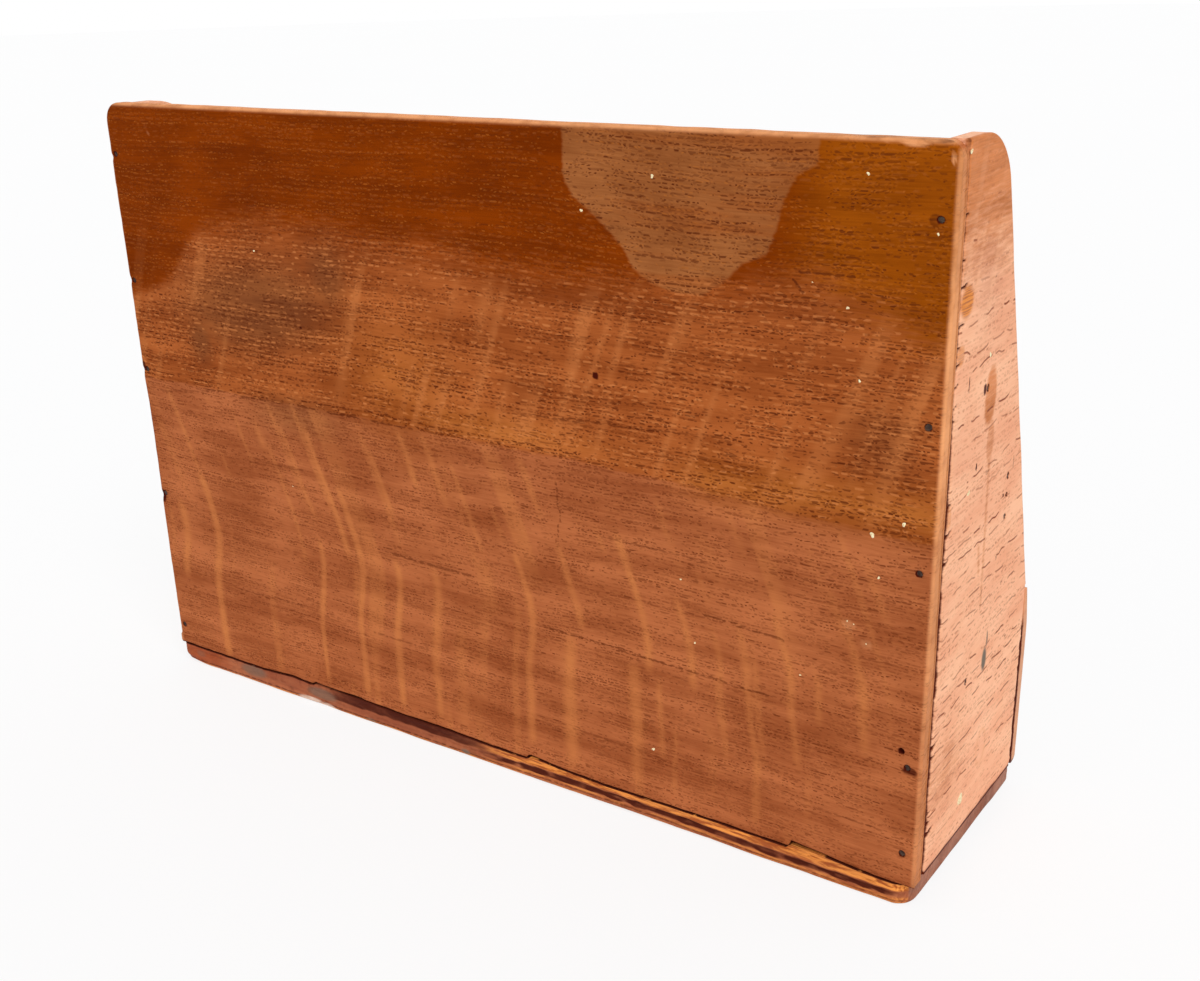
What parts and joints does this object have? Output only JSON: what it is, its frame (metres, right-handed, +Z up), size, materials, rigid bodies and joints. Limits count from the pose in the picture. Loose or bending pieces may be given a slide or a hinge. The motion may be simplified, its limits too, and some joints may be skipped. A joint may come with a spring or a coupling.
{
  "type": "letter rack",
  "caption": "Desk letter rack of thin oak boards: flat base, tall back panel, tapered end boards, stepped dividers and a low front panel, joined with panel pins.",
  "frame": {"origin": "centre of the rack's bounding box at the underside of the base board", "axes": "+X right seen from the low front panel, +Y towards the tall back panel, +Z up"},
  "size_m": [0.255, 0.069, 0.1761],
  "materials": {
    "oak_back": "varnished oak, worn satin",
    "oak_end": "varnished oak, worn satin",
    "oak_base": "varnished oak, worn satin",
    "oak_front": "varnished oak, worn satin",
    "oak_divider": "varnished oak, worn satin",
    "steel_pin": "darkened steel"
  },
  "bodies": {
    "root": {"base_board": "oak_base", "back_panel": "oak_back", "left_end_board": "oak_end", "right_end_board": "oak_end", "front_panel": "oak_front", "rear_divider": "oak_divider", "middle_divider": "oak_divider", "left_back_pins": "steel_pin", "right_back_pins": "steel_pin", "front_pins": "steel_pin", "rear_divider_pins": "steel_pin", "middle_divider_pins": "steel_pin", "base_pins": "steel_pin"}
  },
  "joints": []
}
